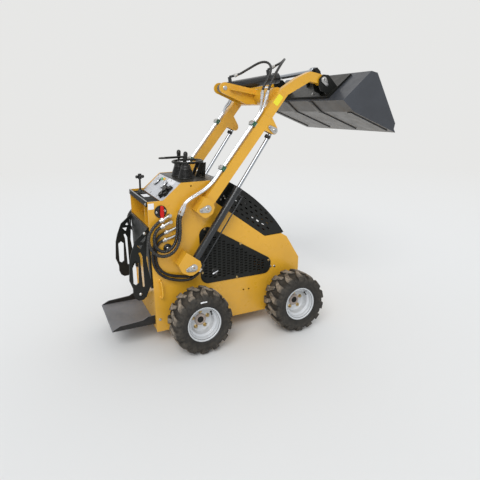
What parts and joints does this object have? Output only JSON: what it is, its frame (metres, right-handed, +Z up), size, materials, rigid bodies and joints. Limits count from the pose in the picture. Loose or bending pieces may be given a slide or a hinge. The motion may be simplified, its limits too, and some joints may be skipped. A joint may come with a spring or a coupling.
{
  "type": "skid steer loader",
  "caption": "Wheeled stand-on mini skid steer loader with raised lift arms, a tipped bucket and an operator platform behind.",
  "frame": {"origin": "on the ground under the middle of the machine's length and width", "axes": "+X forward to the bucket, +Y to the machine's left, +Z up"},
  "size_m": [2.01, 1.11, 1.9237],
  "materials": {
    "barrel_grey": "gloss",
    "black_paint": "satin",
    "black_plastic": "matte",
    "black_rubber": "matte",
    "bucket_grey": "satin",
    "console_grey": "satin",
    "deck_grey": "matte",
    "engine_iron": "matte",
    "fitting_steel": "satin",
    "hose_rubber": "matte",
    "machine_yellow": "gloss",
    "motor_black": "satin",
    "pipe_steel": "polished",
    "rim_silver": "satin",
    "rod_chrome": "polished",
    "tyre": "matte"
  },
  "bodies": {
    "chassis": {"body_tub": "machine_yellow", "console": "console_grey", "control_levers": "black_rubber", "engine_block": "engine_iron", "hood": "black_paint", "hose_boom_in_left": "hose_rubber", "hose_boom_in_right": "hose_rubber", "hose_boom_out_left": "hose_rubber", "hose_boom_out_right": "hose_rubber", "hose_lift_in_left": "hose_rubber", "hose_lift_in_right": "hose_rubber", "hose_lift_out_left": "hose_rubber", "hose_lift_out_right": "hose_rubber", "isolator_switch": "black_plastic", "leg_guard": "black_paint", "platform": "deck_grey", "ports_left": "fitting_steel", "ports_right": "fitting_steel", "rear_tray": "black_paint", "side_grille_left": "black_paint", "side_grille_right": "black_paint", "side_plate_left": "machine_yellow", "side_plate_right": "machine_yellow", "wheel_motors_left": "motor_black", "wheel_motors_right": "motor_black"},
    "arms": {"arm_pipes_left": "pipe_steel", "arm_pipes_right": "pipe_steel", "cross_tube": "machine_yellow", "hose_tilt_front": "hose_rubber", "hose_tilt_rear": "hose_rubber", "lift_arm_left": "machine_yellow", "lift_arm_right": "machine_yellow"},
    "bucket_body": {"bucket": "bucket_grey", "coupler": "black_paint"},
    "tilt_barrel_body": {"tilt_barrel": "barrel_grey"},
    "tilt_rod_body": {"tilt_rod": "rod_chrome"},
    "wheel_rear_left": {"rim_rear_left": "rim_silver", "tyre_rear_left": "tyre"},
    "wheel_rear_right": {"rim_rear_right": "rim_silver", "tyre_rear_right": "tyre"},
    "wheel_front_left": {"rim_front_left": "rim_silver", "tyre_front_left": "tyre"},
    "wheel_front_right": {"rim_front_right": "rim_silver", "tyre_front_right": "tyre"},
    "lift_barrel_body_left": {"lift_barrel_left": "barrel_grey"},
    "lift_rod_body_left": {"lift_rod_left": "rod_chrome"},
    "lift_barrel_body_right": {"lift_barrel_right": "barrel_grey"},
    "lift_rod_body_right": {"lift_rod_right": "rod_chrome"}
  },
  "joints": [
    {"name": "wheel_rear_left_spin", "type": "hinge", "parent": "chassis", "child": "wheel_rear_left", "pos_m": [-0.466, 0.406, 0.205], "axis": [0, 1, 0], "continuous": true},
    {"name": "wheel_rear_right_spin", "type": "hinge", "parent": "chassis", "child": "wheel_rear_right", "pos_m": [-0.466, -0.406, 0.205], "axis": [0, 1, 0], "continuous": true},
    {"name": "wheel_front_left_spin", "type": "hinge", "parent": "chassis", "child": "wheel_front_left", "pos_m": [0.25, 0.406, 0.205], "axis": [0, 1, 0], "continuous": true},
    {"name": "wheel_front_right_spin", "type": "hinge", "parent": "chassis", "child": "wheel_front_right", "pos_m": [0.25, -0.406, 0.205], "axis": [0, 1, 0], "continuous": true},
    {"name": "lift", "type": "hinge", "parent": "chassis", "child": "arms", "pos_m": [-0.378, 0, 0.922], "axis": [0, -1, 0], "range_deg": [-78, 2], "deforming": ["hose_boom_in_left", "hose_boom_in_right", "hose_boom_out_left", "hose_boom_out_right"]},
    {"name": "lift_barrel_left_pivot", "type": "hinge", "parent": "chassis", "child": "lift_barrel_body_left", "pos_m": [-0.483, 0.313, 0.538], "axis": [0, -1, 0], "range_deg": [-56.8, 2.4], "deforming": ["hose_lift_in_left", "hose_lift_out_left"]},
    {"name": "lift_rod_left_slide", "type": "slide", "parent": "lift_barrel_body_left", "child": "lift_rod_body_left", "axis": [0.5716, 0, 0.8205], "range_m": [-0.3804, 0.0137]},
    {"name": "lift_barrel_right_pivot", "type": "hinge", "parent": "chassis", "child": "lift_barrel_body_right", "pos_m": [-0.483, -0.313, 0.538], "axis": [0, -1, 0], "range_deg": [-56.8, 2.4], "deforming": ["hose_lift_in_right", "hose_lift_out_right"]},
    {"name": "lift_rod_right_slide", "type": "slide", "parent": "lift_barrel_body_right", "child": "lift_rod_body_right", "axis": [0.5716, 0, 0.8205], "range_m": [-0.3804, 0.0137]},
    {"name": "tilt", "type": "hinge", "parent": "arms", "child": "bucket_body", "pos_m": [0.522, 0, 1.761], "axis": [0, 1, 0], "range_deg": [-100, 12]},
    {"name": "tilt_barrel_pivot", "type": "hinge", "parent": "arms", "child": "tilt_barrel_body", "pos_m": [-0.111, 0, 1.716], "axis": [0, 1, 0], "range_deg": [-11.2, 2.2], "deforming": ["hose_tilt_front", "hose_tilt_rear"]},
    {"name": "tilt_rod_slide", "type": "slide", "parent": "tilt_barrel_body", "child": "tilt_rod_body", "axis": [0.9858, 0, 0.1678], "range_m": [-0.259, 0.0346]}
  ],
  "couplings": [
    {"joint": "lift_barrel_left_pivot", "follows": "lift", "ratio": 0.71582},
    {"joint": "lift_rod_left_slide", "follows": "lift", "m_per_rad": 0.27647},
    {"joint": "lift_barrel_right_pivot", "follows": "lift", "ratio": 0.71582},
    {"joint": "lift_rod_right_slide", "follows": "lift", "m_per_rad": 0.27647},
    {"joint": "tilt_barrel_pivot", "follows": "tilt", "ratio": 0.10233},
    {"joint": "tilt_rod_slide", "follows": "tilt", "m_per_rad": 0.14613}
  ]
}
